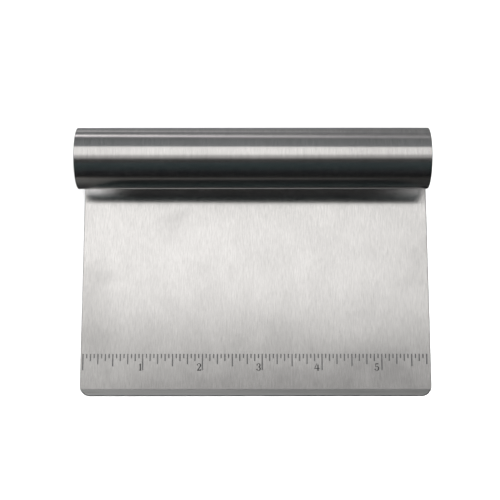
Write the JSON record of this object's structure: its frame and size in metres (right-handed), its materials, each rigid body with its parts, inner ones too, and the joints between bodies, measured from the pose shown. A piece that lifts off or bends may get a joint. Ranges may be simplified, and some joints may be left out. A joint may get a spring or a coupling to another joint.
{
  "type": "bench scraper",
  "caption": "Flat rectangular steel blade with a ground lower edge and an etched inch scale, and a straight tubular handle along its upper edge.",
  "frame": {"origin": "under the middle of the object's bounding box, on the plane of the blade's back face", "axes": "+X along the handle, +Y from the scraping edge towards the handle, +Z out of the blade's front face"},
  "size_m": [0.15, 0.113, 0.027],
  "materials": {
    "blade_steel": "long straight grain running from the scraping edge to the handle",
    "handle_steel": "fine polish with faint hoop-wise grain",
    "cap_steel": "turned face, satin",
    "weld_metal": "ripple weld, brushed clean",
    "etch_fill": "matte dark etched marks"
  },
  "bodies": {
    "root": {"blade": "blade_steel", "handle_tube": "handle_steel", "left_end_cap": "cap_steel", "right_end_cap": "cap_steel", "weld_bead": "weld_metal", "scale_marks": "etch_fill", "scale_numerals": "etch_fill"}
  },
  "joints": []
}
